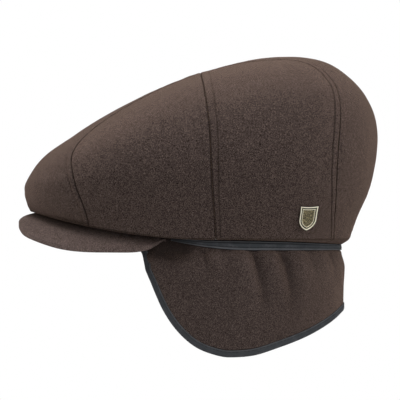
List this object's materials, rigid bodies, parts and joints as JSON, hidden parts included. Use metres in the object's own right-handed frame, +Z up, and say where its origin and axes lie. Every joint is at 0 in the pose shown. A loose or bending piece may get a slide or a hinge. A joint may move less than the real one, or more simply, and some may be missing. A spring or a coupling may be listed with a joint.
{
  "type": "cap with earflaps",
  "caption": "Soft paneled wool cap with a short arched peak, a gathered ear and neck flap hanging below a dark rim tape, and a plain shield badge.",
  "frame": {"origin": "centre of the head opening at the level of the crown's side hem, where a head holds the cap", "axes": "-Y to the front of the cap, +X to the wearer's left, where the badge is, +Z up"},
  "size_m": [0.237, 0.2874, 0.2413],
  "materials": {
    "wool": "dark brown milled wool with a fine short nap",
    "dark_tape": "dark charcoal woven cotton tape",
    "badge_metal": "antique brass with dark recesses"
  },
  "bodies": {
    "root": {"crown_panel_1": "wool", "crown_panel_2": "wool", "crown_panel_3": "wool", "crown_panel_4": "wool", "crown_panel_5": "wool", "crown_panel_6": "wool", "crown_panel_7": "wool", "crown_panel_8": "wool", "peak": "wool", "ear_flap": "wool", "rim_tape": "dark_tape", "flap_binding": "dark_tape", "badge": "badge_metal"}
  },
  "joints": []
}
